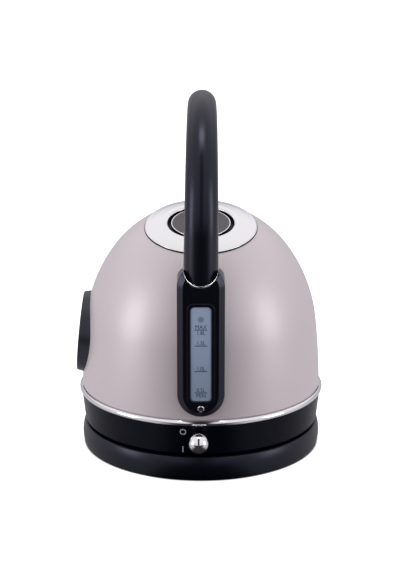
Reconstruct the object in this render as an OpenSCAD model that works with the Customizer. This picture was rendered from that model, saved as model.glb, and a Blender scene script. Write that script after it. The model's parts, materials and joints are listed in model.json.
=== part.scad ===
// Cordless electric kettle on its power base. Frame: +Z up, origin on the body axis at table level,
// handle and water gauge towards -Y, spout towards +Y, temperature dial towards -X. Millimetres.

/* [Body] */
// Radius of the painted body at the trim ring
body_r = 97.5; // [96.5:0.1:98.5]
// Thickness of the steel body wall
wall = 1.0; // [0.8:0.1:1.2]
// Height of the tank floor above the table
floor_z = 57; // [56:0.5:58]

/* [Lid] */
// Lean of the lid axis towards the handle, in degrees
lid_tilt = 15; // [13:0.5:16]
// Outer radius of the chrome lid ring
lid_r = 44.8; // [44.2:0.1:45.4]
// Radius of the round recess in the lid
recess_r = 26.6; // [26:0.2:27.2]
// Radius of the lid's centre knob
knob_r = 23.5; // [22.9:0.1:23.8]

/* [Handle] */
// Distance of the handle's upright from the body axis
handle_y = 90; // [89.5:0.1:90.5]
// Radius of the handle's bend, measured to its centre line
bend_r = 85; // [82:0.5:88]
// Height at which the bend starts
bend_z = 194; // [190:1:198]
// Sweep of the bend in degrees
bend_a = 124; // [110:1:128]
// Grip radius at its root
grip_r0 = 13.2; // [13:0.1:13.6]
// Grip radius at its free end
grip_r1 = 10.7; // [10.4:0.1:11.6]

/* [Gauge] */
// Half width of the gauge bracket
bracket_r = 18.1; // [17.6:0.1:18.6]
// Distance of the bracket's front face from the body axis
face_y = 103.5; // [103.2:0.1:104]
// Width of the gauge window
window_w = 15.9; // [15:0.1:16.4]
// Height of the window's lower edge
window_z0 = 67.8; // [67:0.1:69]
// Height of the window's upper edge
window_z1 = 142.2; // [140:0.1:143]

/* [Dial] */
// Radius of the dial's face ring
dial_r = 32.3; // [31.5:0.1:33]
// Height of the dial's centre
dial_z = 92.5; // [90:0.5:95]
// Upward lean of the dial's face, in degrees
dial_tilt = 5.5; // [5:0.1:6]
// Needle angle at rest, counted from straight up towards the spout side
needle_a = 81; // [-135:1:135]

/* [Switch] */
// Sideways offset of the switch lever
switch_x = -1.7; // [-3:0.1:0]
// Radius of the switch's ball
ball_r = 7.9; // [7:0.1:8.4]

/* [Spout] */
// Rise of the spout's axis, in degrees
spout_el = 40; // [39:0.5:41]
// Height of the spout's rim
spout_z = 160; // [156:1:162]

/* [Power base] */
// Largest radius of the power base
base_r = 97.9; // [97:0.1:98.5]
// Height of the power base
base_h = 19; // [18.6:0.1:19.4]
// Radius of the cable entry
cord_r = 3.4; // [3:0.1:3.8]

/* [Hidden] */
$fn = 64;
k = body_r / 97.5;
shell_z = 46;
arc_r1 = 579.7 * k;
arc_r2 = 120.3 * k;
ang1 = 6.58;
ang2 = 37.4;
cen1 = [body_r * 1.00014 - arc_r1 * cos(0.95), 48.1 - arc_r1 * sin(0.95)];
cen2 = cen1 + (arc_r1 - arc_r2) * [cos(ang1), sin(ang1)];
top_p = cen2 + arc_r2 * [cos(ang2), sin(ang2)];
top_r = top_p[0] / cos(ang2);
top_z = top_p[1] - top_r * sin(ang2);
root_z = 169.3;
root_slope = 36.2;
neck_r = lid_r - 2.4;
collar_z0 = 20.9;
collar_z1 = 45.5;
port_z = [window_z0 + 5, window_z1 - 9.7];
port_r = 3.2;
gauge_screw_z = window_z0 - 6.2;
bracket_cut = 4.5;
bracket_depth = 3.6;
bracket_top = 156.5;
sleeve_r = grip_r0 + 0.36;
joint_h = 1.4;
plug_r = neck_r - 5.4;
gasket_r = neck_r - 2.2;
cord_z = 10.4;
skirt_z = 0.4;
collar_low = body_r - 3.0;
collar_high = body_r + 0.8;
bezel_y = 95;
knob_z = 76;
pin_z = 35.2;
pin_y = 83.5;
wide = 120;
dark = [0.06, 0.06, 0.07];
black = [0.03, 0.03, 0.035];
steel = [0.75, 0.76, 0.78];
chrome = [0.85, 0.86, 0.88];
brass = [0.8, 0.62, 0.3];
paint = [0.72, 0.66, 0.65];
rubber = [0.15, 0.15, 0.15];
clear = [0.6, 0.68, 0.8, 0.4];

// ---- shared shapes ----

function arc_points(c, r, a, b, n) =
  [for (i = [0:n]) let (t = a + (b - a) * i / n) c + r * [cos(t), sin(t)]];

// Half section of the dome, inset by d, above height z: three tangent arcs in fine steps
module half_dome(d, z) {
  intersection() {
    polygon(concat([[0, 20]],
      arc_points(cen1, arc_r1 - d, -1.4, ang1, 8),
      arc_points(cen2, arc_r2 - d, ang1 + 1.5, ang2, 18),
      arc_points([0, top_z], top_r - d, ang2 + 1.8, 90, 28)));
    translate([0, z]) square([150, 260]);
  }
}

module dome(d, z) {
  rotate_extrude($fn = 240) half_dome(d, z);
}

module lid_frame() {
  translate([0, 0, top_z]) rotate([lid_tilt, 0, 0]) children();
}

module dial_frame() {
  translate([-98.6 * k, 0, dial_z]) rotate([0, -90 + dial_tilt, 0]) children();
}

module spout_frame() {
  translate([0, 52, 108]) rotate([spout_el - 90, 0, 0]) children();
}

// Frame on the tank's front wall: +Z along the wall's outward normal
module filter_place() {
  translate([0, 85.3 * k, 137]) rotate([-70, 0, 0]) children();
}

// Upright plate in the XZ plane from depth y0 to y1 (distances towards the handle side)
module plate_y(y0, y1) {
  translate([0, -y0, 0]) rotate([90, 0, 0]) linear_extrude(y1 - y0) children();
}

module rounded_bar(w, z0, z1, r) {
  translate([-w / 2 + r, z0]) square([w - 2 * r, z1 - z0]);
  translate([-w / 2, z0 + r]) square([w, z1 - z0 - 2 * r]);
  for (x = [-1, 1], z = [z0 + r, z1 - r]) translate([x * (w / 2 - r), z]) circle(r);
}

module ring(r0, r1, z0, z1) {
  translate([0, 0, z0]) difference() {
    cylinder(r = r1, h = z1 - z0);
    translate([0, 0, -1]) cylinder(r = r0, h = z1 - z0 + 2);
  }
}

module around(n, r, a0 = 0) {
  for (i = [0:n - 1]) rotate([0, 0, a0 + i * 360 / n]) translate([r, 0, 0]) children();
}

// ---- body ----

module body_shell() {
  color(paint) difference() {
    rotate_extrude($fn = 240) difference() {
      half_dome(0, shell_z);
      half_dome(wall, shell_z - 5);
    }
    lid_frame() translate([0, 0, 60]) cylinder(r = neck_r, h = 50);
    filter_place() translate([0, 0, -8]) cylinder(r = 15, h = 16);
    dial_frame() translate([0, 0, -14]) cylinder(r = 4, h = 20);
    for (z = port_z) plate_y(70, 110) translate([0, z]) circle(port_r);
  }
}

module spout_cone(d) {
  spout_frame() translate([0, 0, 22]) cylinder(r1 = 33.2 - d, r2 = 3.2 - d, h = 78);
}

module spout() {
  color(paint) difference() {
    intersection() {
      spout_cone(0);
      translate([-60, 60, 60]) cube([120, 90, spout_z - 60]);
    }
    spout_cone(1.4);
    dome(0, 40);
  }
}

module filter_frame() {
  color(steel) filter_place() {
    ring(12.6, 14.9, -4.2, -0.4);
    ring(12.6, 18.2, -5.6, -4.2);
    for (y = [-15.4, 13.8]) translate([-4, y, -9.4]) cube([8, 1.6, 4.2]);
  }
}

module filter_mesh() {
  color(steel) filter_place() difference() {
    translate([0, 0, -5.6]) cylinder(r = 12.6, h = 0.6);
    for (q = [1:4], i = [0:6 * q - 1])
      rotate([0, 0, i * 60 / q]) translate([2.7 * q, 0, -7]) cylinder(r = 0.8, h = 4);
  }
}

module trim_ring() {
  color(chrome) rotate_extrude($fn = 240) difference() {
    union() {
      intersection() {
        translate([body_r + 0.05, 47.6]) circle(2.35);
        translate([90, collar_z1]) square([20, 8]);
      }
      translate([body_r - 5.5, collar_z1]) square([7.7, shell_z - collar_z1 + 0.4]);
    }
    half_dome(0, shell_z);
  }
}

module collar_section(d) {
  polygon([[0, collar_z0 - d], [collar_low - d, collar_z0 - d], [collar_low + 1.2 - d, collar_z0 + 1.3],
    [collar_high - d, collar_z1], [0, collar_z1]]);
}

module collar() {
  color(black) difference() {
    rotate_extrude() difference() {
      collar_section(0);
      translate([0, 0]) square([body_r - 6.6, 60]);
      translate([0, 27]) square([body_r - 5.9, 15.5]);
      translate([0, 44]) square([body_r - 4.2, 8]);
    }
    translate([switch_x, 0, 0]) plate_y(70, 110) rounded_bar(14, 24.6, 42.4, 6.9);
  }
}

module underside_plate() {
  color(dark) difference() {
    rotate_extrude() difference() {
      union() {
        translate([0, 22.5]) square([body_r - 6.6, 2]);
        translate([0, 22.5]) square([23, 6.3]);
      }
      translate([0, 20]) square([21, 7.2]);
      translate([0, 20]) square([17.06, 12]);
    }
    around(3, 78, 90) translate([0, 0, 20]) cylinder(r = 1.7, h = 8);
    for (a = [30, 150, 210, 330]) rotate([0, 0, a]) translate([55, 0, 20]) cylinder(r = 3, h = 8);
  }
}

module underside_screws() {
  color(steel) around(3, 78, 90) difference() {
    union() {
      translate([0, 0, 21.1]) cylinder(r = 3, h = 1.4);
      translate([0, 0, 22.4]) cylinder(r = 1.6, h = 11);
    }
    translate([-2.2, -0.4, 20.5]) cube([4.4, 0.8, 1.2]);
    translate([-0.4, -2.2, 20.5]) cube([0.8, 4.4, 1.2]);
  }
}

module tank_floor() {
  color(steel) rotate_extrude() {
    translate([0, floor_z - 1.2]) square([92, 1.2]);
    translate([92, floor_z - 1.2]) square([1.2, 5]);
  }
}

module floor_seal() {
  color(rubber) rotate_extrude($fn = 240) difference() {
    translate([93.2, floor_z - 1.2]) square([10, 5.6]);
    difference() {
      translate([93.2, 40]) square([20, 40]);
      half_dome(wall, 44);
    }
  }
}

module heat_plate() {
  color(steel) difference() {
    translate([0, 0, floor_z - 4.2]) cylinder(r = 58, h = 3);
    translate([0, -36, 40]) cylinder(r = 5, h = 30);
  }
}

module heating_element() {
  color(steel) {
    translate([0, 0, floor_z - 7.2]) rotate([0, 0, -60]) rotate_extrude(angle = 300)
      translate([48, 0]) circle(3);
    for (a = [-54, 234]) rotate([0, 0, a]) translate([48, 0, floor_z - 13]) cylinder(r = 1.2, h = 6);
  }
}

module controller() {
  color(dark) difference() {
    union() {
      translate([-30, -24, 34.4]) cube([60, 48, 9]);
      translate([-24, -30, 34.4]) cube([48, 6, 7]);
      for (x = [-22, 22]) translate([x, 12, 43.4]) cylinder(r = 3, h = floor_z - 4.2 - 43.4);
    }
    for (x = [-14, 14]) translate([x, 0, 33]) cylinder(r = 3, h = 12);
  }
}

module steam_tube() {
  color(steel) translate([34, -66, 0]) difference() {
    union() {
      translate([0, 0, floor_z]) cylinder(r = 4, h = 86);
      translate([0, 0, floor_z]) cylinder(r = 7, h = 1.5);
    }
    translate([0, 0, floor_z + 0.5]) cylinder(r = 3.2, h = 90);
  }
}

module coupler() {
  color(dark) difference() {
    union() {
      translate([0, 0, 27.4]) cylinder(r = 17, h = 4.4);
      translate([0, 0, 31.6]) cylinder(r = 19, h = 1.8);
    }
    translate([0, 0, 20]) cylinder(r = 2.5, h = 12.4);
    ring(5.4, 6.3, 20, 32.4);
    ring(9.4, 10.3, 20, 32.4);
  }
}

module coupler_pins() {
  color(brass) {
    translate([0, 0, 15]) cylinder(r = 2.5, h = 17.4);
    ring(5.4, 6.3, 17, 32.4);
    ring(9.4, 10.3, 17, 32.4);
  }
}

// ---- lid ----

module lid_seat() {
  color(dark) lid_frame() difference() {
    union() {
      ring(neck_r - 1.8, neck_r, 66, 76.2);
      ring(neck_r - 5, neck_r - 1.7, 66, 68);
    }
    translate([0, 0, 64]) cylinder(r = neck_r - 5, h = 20);
  }
}

// Half section below the lid's outer surface, dropped by d
module lid_section(d) {
  polygon([[0, 60], [lid_r, 60], [lid_r, 76.6 - d], [lid_r - 0.9, 77.7 - d], [38.5, 79 - d],
    [recess_r + 1.4, 80.3 - d], [recess_r + 0.6, 80.5 - d], [recess_r, 80.2 - d], [0, 80.2 - d]]);
}

module lid_ring() {
  color(chrome) lid_frame() rotate_extrude() difference() {
    lid_section(0);
    difference() {
      lid_section(0.9);
      translate([recess_r, knob_z]) square([0.9, 10]);
      translate([lid_r - 0.9, 60]) square([2, 30]);
    }
    square([recess_r, 120]);
    intersection() {
      circle(top_r + 0.25, $fn = 256);
      translate([neck_r - 0.3, 0]) square([20, 120]);
    }
    square([neck_r, 76.5]);
    square([recess_r + 3, knob_z]);
  }
}

module lid_base() {
  color(dark) lid_frame() difference() {
    rotate_extrude() difference() {
      intersection() {
        lid_section(0.9);
        square([gasket_r, 120]);
      }
      translate([0, knob_z]) square([recess_r + 0.9, 20]);
      square([plug_r, 66.6]);
      translate([plug_r, 0]) square([10, 71.2]);
      square([neck_r - 7, knob_z - 2]);
    }
    translate([0, 0, 70]) cylinder(r = 1.8, h = 10);
  }
}

module lid_gasket() {
  color(rubber) lid_frame() rotate_extrude() {
    translate([plug_r, 68.3]) square([gasket_r - plug_r, 2.9]);
  }
}

module knob_base() {
  color(dark) lid_frame() difference() {
    translate([0, 0, knob_z]) cylinder(r = knob_r - 0.9, h = 2);
    translate([0, 0, knob_z - 1]) cylinder(r = 1.8, h = 8);
  }
}

module knob_rim() {
  color(chrome) lid_frame() rotate_extrude() difference() {
    translate([knob_r - 0.9, knob_z]) square([0.9, 3.9]);
    translate([knob_r, knob_z + 4.2]) rotate(45) square(0.6, center = true);
  }
}

module knob_cap() {
  color(dark) lid_frame() rotate_extrude() difference() {
    translate([0, knob_z + 2]) square([knob_r - 0.9, 1.6]);
    translate([0, knob_z + 3 + 250]) circle(250, $fn = 256);
  }
}

module knob_screw() {
  color(steel) lid_frame() difference() {
    union() {
      translate([0, 0, knob_z - 3.6]) cylinder(r = 3.4, h = 1.6);
      translate([0, 0, knob_z - 2.1]) cylinder(r = 1.8, h = 4.1);
    }
    translate([-2.4, -0.4, knob_z - 4]) cube([4.8, 0.8, 1.2]);
    translate([-0.4, -2.4, knob_z - 4]) cube([0.8, 4.8, 1.2]);
  }
}

// ---- handle ----

bend_steps = 22;
bend_c = [bend_r - handle_y, bend_z];
rise = bend_z - root_z;
path_len = rise + bend_r * bend_a * PI / 180;
function path_dir(s) = s < rise ? 90 : 90 - (s - rise) / bend_r * 180 / PI;
function path_pos(s) = s < rise ? [-handle_y, root_z + s]
  : bend_c + bend_r * [-sin(path_dir(s)), cos(path_dir(s))];
function grip_r(s) = grip_r0 + (grip_r1 - grip_r0) * s / path_len;

// Ring of n points about the path at length s; the root ring is cut on the slope
function path_ring(s, r, n, sloped) = [for (i = [0:n - 1])
  let (a = i * 360 / n, d = path_dir(s), p = path_pos(s), u = r * cos(a), v = r * sin(a))
  [u, p[0] + v * sin(d), p[1] - v * cos(d) + (sloped ? v * tan(root_slope) : 0)]];

module tapered_tube(n, bore) {
  m = bend_steps + 3;
  bend_len = path_len - rise;
  stations = concat([0, rise * 0.5, rise], [for (i = [1:bend_steps]) rise + bend_len * i / bend_steps]);
  pts = concat(
    [for (j = [0:m - 1]) each path_ring(stations[j], grip_r(stations[j]), n, j == 0)],
    [for (j = [0:m - 1]) each path_ring(stations[j], bore, n, j == 0)]);
  side = [for (j = [0:m - 2], i = [0:n - 1])
    let (a = j * n + i, b = j * n + (i + 1) % n) each [[a, b, b + n], [a, b + n, a + n]]];
  core = [for (f = side) [f[0] + m * n, f[2] + m * n, f[1] + m * n]];
  ends = [for (i = [0:n - 1]) let (a = i, b = (i + 1) % n, c = (m - 1) * n) each
    [[b, a, a + m * n], [b, a + m * n, b + m * n],
     [a + c, b + c, b + c + m * n], [a + c, b + c + m * n, a + c + m * n]]];
  polyhedron(points = pts, faces = concat(side, core, ends), convexity = 6);
}

module handle_grip() {
  color(black) tapered_tube(32, 6.4);
}

module handle_core() {
  color(steel) {
    translate([0, -handle_y, 146.5]) cylinder(r = 6, h = bend_z - 146.5);
    translate([0, bend_c[0], bend_z]) rotate([90, 0, -90])
      rotate_extrude(angle = bend_a - 4) translate([bend_r, 0]) circle(6);
  }
}

// Half space above the sloping joint between bracket and grip, shifted down by d
module above_root(d) {
  translate([0, -handle_y, root_z - d]) rotate([root_slope, 0, 0])
    translate([-wide / 2, -wide / 2, 0]) cube([wide, wide, 90]);
}

module handle_ring() {
  color(chrome) difference() {
    intersection() {
      translate([0, -handle_y, 140]) cylinder(r = grip_r0 + 0.35, h = 50);
      above_root(joint_h);
    }
    above_root(0);
    translate([0, -handle_y, 100]) cylinder(r = 6, h = 100);
  }
}

module handle_end() {
  p = path_pos(path_len);
  d = path_dir(path_len);
  color(dark) translate([0, p[0], p[1]]) rotate([d - 90, 0, 0]) rotate_extrude() {
    square([grip_r1 - 0.6, 1.0]);
    intersection() {
      translate([0, -18]) circle(21);
      translate([0, 1]) square([grip_r1 - 0.6, 4]);
    }
  }
}

// ---- gauge ----

module bracket_block() {
  z0 = 53.9 + bracket_r;
  z1 = bracket_top;
  y0 = face_y - bracket_depth;
  for (z = [z0, z1]) {
    plate_y(60, y0) translate([0, z]) circle(bracket_r);
    translate([0, -y0, z]) rotate([90, 0, 0])
      cylinder(r1 = bracket_r, r2 = bracket_r - bracket_cut, h = bracket_depth);
  }
  translate([0, 0, z0]) linear_extrude(z1 - z0) polygon([[-bracket_r, -60], [-bracket_r, -y0],
    [bracket_cut - bracket_r, -face_y], [bracket_r - bracket_cut, -face_y],
    [bracket_r, -y0], [bracket_r, -60]]);
}

module gauge_bracket() {
  color(black) difference() {
    bracket_block();
    dome(0, 40);
    plate_y(50, 120) rounded_bar(window_w + 1, window_z0 - 0.5, window_z1 + 0.5, 3.5);
    intersection() {
      union() {
        translate([0, -handle_y, 100]) cylinder(r = sleeve_r, h = 100);
        translate([-wide / 2, -handle_y - 40, 100]) cube([wide, 40, 100]);
      }
      above_root(joint_h);
    }
    translate([0, -handle_y, 146.5]) cylinder(r = 6, h = 60);
    plate_y(face_y - 5.1, 120) translate([0, gauge_screw_z]) circle(1.6);
    plate_y(face_y - 0.9, 120) translate([0, gauge_screw_z]) circle(2.7);
    translate([0, -92, 172]) rotate([-32, 0, 0]) translate([-30, -1, 0]) cube([60, 90, 60]);
  }
}

module gauge_frame() {
  color(black) difference() {
    plate_y(face_y, face_y + 1.2) rounded_bar(window_w + 5.4, window_z0 - 2.7, window_z1 + 2.7, 5);
    plate_y(face_y - 1, face_y + 3) rounded_bar(window_w, window_z0, window_z1, 3);
  }
  color(black) difference() {
    plate_y(face_y - 1, face_y) rounded_bar(window_w + 1, window_z0 - 0.5, window_z1 + 0.5, 3.5);
    plate_y(face_y - 2, face_y + 3) rounded_bar(window_w, window_z0, window_z1, 3);
  }
}

module gauge_window() {
  color(clear) {
    plate_y(face_y - 1, face_y + 0.4) rounded_bar(window_w, window_z0, window_z1, 3);
    plate_y(face_y - 2.4, face_y - 1) rounded_bar(window_w + 1, window_z0 - 0.5, window_z1 + 0.5, 3.5);
  }
}

module gauge_back() {
  color([0.7, 0.75, 0.85]) difference() {
    plate_y(face_y - 5.4, face_y - 4.4)
      rounded_bar(window_w + 1, window_z0 - 0.5, window_z1 + 0.5, 3.5);
    for (z = port_z) plate_y(60, 120) translate([0, z]) circle(port_r);
  }
}

module gauge_marks() {
  color(dark) for (z = [74.6, 91.7, 111.9, 124.5])
    plate_y(face_y + 0.4, face_y + 0.55) translate([0, z]) square([9.6, 0.5], center = true);
}

module gauge_seals() {
  color(rubber) for (z = port_z) difference() {
    plate_y(z > 100 ? 80 : 92, face_y - 3.6) translate([0, z]) circle(port_r);
    plate_y(60, 120) translate([0, z]) circle(1.8);
  }
}

module gauge_screws() {
  color(steel) {
    difference() {
      plate_y(face_y - 0.9, face_y + 0.5) translate([0, gauge_screw_z]) circle(2.55);
      for (cross = [[0.9, 2.6], [2.6, 0.9]])
        plate_y(face_y - 0.2, face_y + 3) translate([0, gauge_screw_z]) square(cross, center = true);
    }
    plate_y(face_y - 5.0, face_y - 0.9) translate([0, gauge_screw_z]) circle(1.6);
  }
}

// ---- dial ----

module dial_bezel() {
  color(black) difference() {
    dial_frame() translate([0, 0, -18]) cylinder(r1 = dial_r + 3.6, r2 = dial_r, h = 18);
    dial_frame() translate([0, 0, -2.9]) cylinder(r = dial_r - 2, h = 10);
    dial_frame() translate([0, 0, -20]) cylinder(r = 4, h = 30);
    dome(0, 30);
  }
}

module dial_face() {
  color([0.9, 0.9, 0.88]) dial_frame() ring(1.4, dial_r - 2, -2.9, -2.3);
}

module dial_marks() {
  color(dark) dial_frame() for (i = [0:10])
    rotate([0, 0, 135 - i * 27]) translate([dial_r - 9, -0.4, -2.3])
      cube([i % 2 == 0 ? 5 : 3.4, 0.8, 0.12]);
}

module dial_glass() {
  color(clear) dial_frame() translate([0, 0, -1.1]) cylinder(r = dial_r - 2, h = 1.0);
}

module dial_sensor() {
  color(brass) dial_frame() difference() {
    union() {
      translate([0, 0, -26]) cylinder(r = 2.6, h = 23.1);
      translate([0, 0, -2.9]) cylinder(r = 1.4, h = 0.6);
    }
    translate([0, 0, -12]) cylinder(r = 0.66, h = 20);
  }
}

module dial_seal() {
  color(rubber) dial_frame() {
    ring(2.6, 4, -7.6, -2.9);
    ring(2.6, 6.5, -9.2, -7.6);
  }
}

module dial_needle() {
  color([0.75, 0.1, 0.08]) dial_frame() rotate([0, 0, needle_a]) {
    translate([0, 0, -11]) cylinder(r = 0.6, h = 9.2);
    translate([0, 0, -2.0]) cylinder(r = 2, h = 0.6);
    translate([1.5, -0.5, -2.0]) cube([dial_r - 11, 1.0, 0.4]);
    translate([-7, -0.8, -2.0]) cube([6, 1.6, 0.4]);
  }
}

// ---- switch ----

module switch_bezel() {
  color(dark) translate([switch_x, 0, 0]) difference() {
    plate_y(88, bezel_y) rounded_bar(14, 24.6, 42.4, 6.9);
    plate_y(80, 110) rounded_bar(7.4, 26.6, 41.2, 3.6);
  }
}

module switch_bearing() {
  color(dark) translate([switch_x, 0, 0]) difference() {
    union() {
      for (x = [-1, 1]) translate([x * 6.5 - 1.5, -88, 28]) cube([3, 10, 13]);
      translate([-8, -78, 28]) cube([16, 2, 13]);
    }
    translate([-10, -pin_y, pin_z]) rotate([0, 90, 0]) cylinder(r = 1.5, h = 20);
  }
}

module switch_pin() {
  color(steel) translate([switch_x - 8, -pin_y, pin_z]) rotate([0, 90, 0]) cylinder(r = 1.5, h = 16);
}

module switch_lever() {
  color(black) translate([switch_x, 0, 0]) difference() {
    union() {
      translate([-4.5, -pin_y, pin_z]) rotate([0, 90, 0]) cylinder(r = 3.2, h = 9);
      plate_y(84, 105.5) translate([0, 35.6]) circle(2.6);
    }
    translate([-10, -pin_y, pin_z]) rotate([0, 90, 0]) cylinder(r = 1.55, h = 20);
  }
}

module switch_ball() {
  color(chrome) difference() {
    translate([switch_x, -110, 35.9]) sphere(ball_r);
    translate([switch_x, 0, 0]) plate_y(95, 105.5) translate([0, 35.6]) circle(2.6);
  }
}

// Print on the collar's outer face
module on_collar() {
  intersection() {
    plate_y(80, 110) children();
    rotate_extrude() difference() {
      collar_section(-0.12);
      collar_section(0);
    }
  }
}

module switch_marks() {
  color([0.95, 0.95, 0.95]) {
    on_collar() translate([-13.8, 40.4]) difference() {
      circle(2.5);
      circle(1.7);
    }
    on_collar() translate([-13.9, 25.6]) square([0.9, 5], center = true);
  }
}

// ---- power base ----

module base_curve(r, z0, z1) {
  intersection() {
    translate([base_r - r, 9]) circle(r);
    translate([0, z0]) square([150, z1 - z0]);
  }
  translate([0, z0]) square([base_r - r, z1 - z0]);
}

module base_cover() {
  color(black) difference() {
    union() {
      rotate_extrude() {
        difference() {
          base_curve(28, skirt_z, base_h);
          translate([-3, 0]) base_curve(28, 0, base_h - 2.2);
          square([60, base_h - 2.2]);
        }
        translate([13.1, 8]) square([6, 18]);
      }
      around(3, 70, 30) ring(1.4, 4, 4.2, base_h - 2.1);
    }
    translate([0, 0, cord_z]) rotate([-90, 0, 0]) translate([0, 0, base_r - 11]) cylinder(r = 5.2, h = 20);
    cylinder(r = 13.1, h = 40);
  }
}

module base_bottom() {
  color(dark) difference() {
    union() {
      translate([0, 0, 1.6]) cylinder(r = base_r - 5.2, h = 2.4);
      ring(50, 52, 3.9, 8);
    }
    around(3, 70, 30) cylinder(r = 1.7, h = 10);
    around(3, 70, 30) translate([0, 0, 1]) cylinder(r = 3.2, h = 2);
    around(4, 74, 45) cylinder(r = 2.6, h = 10);
    cylinder(r = 2.6, h = 10);
  }
}

module base_feet() {
  color(rubber) {
    around(4, 74, 45) {
      cylinder(r = 8, h = 1.6);
      translate([0, 0, 1.5]) cylinder(r = 2.6, h = 2.5);
      translate([0, 0, 4]) cylinder(r = 3.4, h = 1.4);
    }
    cylinder(r = 8, h = 1.6);
    translate([0, 0, 1.5]) cylinder(r = 2.6, h = 2.5);
    translate([0, 0, 4]) cylinder(r = 3.4, h = 1.4);
  }
}

module base_socket() {
  color(dark) difference() {
    union() {
      translate([0, 0, 6.6]) cylinder(r = 13.1, h = 19);
      translate([0, 0, 6.6]) cylinder(r = 17, h = 1.4);
    }
    translate([0, 0, 9]) cylinder(r = 3.1, h = 30);
    ring(5.0, 7.0, 12, 40);
    ring(9.0, 11.0, 12, 40);
  }
}

module base_contacts() {
  color(brass) {
    ring(2.75, 3.1, 9, 20);
    ring(6.6, 7.0, 12, 19);
    ring(10.6, 11.0, 12, 19);
  }
}

module base_screws() {
  color(steel) around(3, 70, 30) difference() {
    union() {
      translate([0, 0, 1.7]) cylinder(r = 3, h = 1.3);
      translate([0, 0, 2.9]) cylinder(r = 1.4, h = 10);
    }
    translate([-2.2, -0.4, 1]) cube([4.4, 0.8, 1.4]);
    translate([-0.4, -2.2, 1]) cube([0.8, 4.4, 1.4]);
  }
}

module cord_gland() {
  color(rubber) translate([0, 0, cord_z]) rotate([-90, 0, 0]) difference() {
    union() {
      translate([0, 0, base_r - 10.2]) cylinder(r = 5.2, h = 12);
      translate([0, 0, base_r + 1]) cylinder(r = 6.6, h = 2.2);
      translate([0, 0, base_r - 10.2]) cylinder(r = 6, h = 2.2);
    }
    translate([0, 0, base_r - 16]) cylinder(r = cord_r, h = 30);
  }
}

// ---- output ----
body_shell();
spout();
filter_frame();
filter_mesh();
trim_ring();
collar();
underside_plate();
underside_screws();
tank_floor();
heat_plate();
heating_element();
floor_seal();
controller();
steam_tube();
coupler();
coupler_pins();
lid_seat();
lid_base();
lid_ring();
lid_gasket();
knob_base();
knob_rim();
knob_cap();
knob_screw();
handle_grip();
handle_core();
handle_ring();
handle_end();
gauge_bracket();
gauge_frame();
gauge_window();
gauge_back();
gauge_marks();
gauge_seals();
gauge_screws();
dial_bezel();
dial_face();
dial_marks();
dial_glass();
dial_sensor();
dial_seal();
dial_needle();
switch_bezel();
switch_bearing();
switch_pin();
switch_lever();
switch_ball();
switch_marks();
base_cover();
base_bottom();
base_feet();
base_socket();
base_contacts();
base_screws();
cord_gland();
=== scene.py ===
"""Electric kettle on its power base: the looks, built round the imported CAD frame.

Metres, +Z up. The handle and gauge are on the -Y side, the spout on +Y, the dial on -X.
"""

import json
from math import acos, asin, atan2, cos, hypot, pi, radians, sin, sqrt, tan

import bmesh
import bpy
from mathutils import Matrix, Vector


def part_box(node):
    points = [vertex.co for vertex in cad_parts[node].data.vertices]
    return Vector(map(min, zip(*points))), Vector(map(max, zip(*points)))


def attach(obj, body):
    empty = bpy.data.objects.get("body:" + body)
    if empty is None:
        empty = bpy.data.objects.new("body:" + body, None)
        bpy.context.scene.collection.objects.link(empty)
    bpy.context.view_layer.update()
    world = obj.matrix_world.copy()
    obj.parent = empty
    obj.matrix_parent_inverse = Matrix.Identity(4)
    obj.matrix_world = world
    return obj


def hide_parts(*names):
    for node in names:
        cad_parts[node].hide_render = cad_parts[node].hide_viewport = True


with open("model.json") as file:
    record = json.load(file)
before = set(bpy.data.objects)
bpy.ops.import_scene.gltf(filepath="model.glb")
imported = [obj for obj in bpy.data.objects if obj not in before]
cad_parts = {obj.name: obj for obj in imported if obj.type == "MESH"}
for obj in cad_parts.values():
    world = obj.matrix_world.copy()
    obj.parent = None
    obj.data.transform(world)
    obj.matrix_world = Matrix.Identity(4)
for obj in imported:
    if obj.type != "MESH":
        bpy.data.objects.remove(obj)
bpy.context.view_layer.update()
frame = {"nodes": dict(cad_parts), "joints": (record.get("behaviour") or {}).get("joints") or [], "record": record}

MM = 0.001
TURN = 2 * pi
FINE = 224

# ---------------------------------------------------------------- sizes taken from the frame

shell_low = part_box("body_shell")[0]
ring_low, ring_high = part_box("trim_ring")
collar_low, collar_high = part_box("collar")
cover_low, cover_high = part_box("base_cover")
bracket_low, bracket_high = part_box("gauge_bracket")
window_low, window_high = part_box("gauge_window")
frame_low, frame_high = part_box("gauge_frame")
ball_low, ball_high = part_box("switch_ball")
lid_low, lid_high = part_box("lid_ring")
spout_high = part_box("spout")[1]
gland_low, gland_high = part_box("cord_gland")
screw_low, screw_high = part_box("gauge_screws")
joints = {j["name"]: j for j in frame["joints"]}

# Dome: two arcs up the wall, then a crown that carries on from them smoothly
BODY_R = 97.5 * MM
WALL = 1.0 * MM
LOW_ARC, MID_ARC = 579.7 * MM, 120.3 * MM
LOW_END, MID_END = radians(6.58), radians(37.4)
LOW_START = radians(0.95)
ARC_Z = 48.1 * MM

low_centre = Vector((BODY_R - LOW_ARC * cos(LOW_START), ARC_Z - LOW_ARC * sin(LOW_START)))
mid_centre = low_centre + (LOW_ARC - MID_ARC) * Vector((cos(LOW_END), sin(LOW_END)))
crown_start = mid_centre + MID_ARC * Vector((cos(MID_END), sin(MID_END)))
CROWN_R = crown_start.x / cos(MID_END)
crown_centre = Vector((0, crown_start.y - CROWN_R * sin(MID_END)))

# Lid: its heights are counted along its own axis from the centre of the crown
LID_AXIS = Vector(joints["lid_lift"]["axis"]).normalized()
LID_R = (lid_high.x - lid_low.x) / 2
NECK_R = LID_R - 2.4 * MM
RECESS_R = 26.6 * MM
KNOB_R = 23.5 * MM
KNOB_Z = 76.0 * MM

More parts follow.
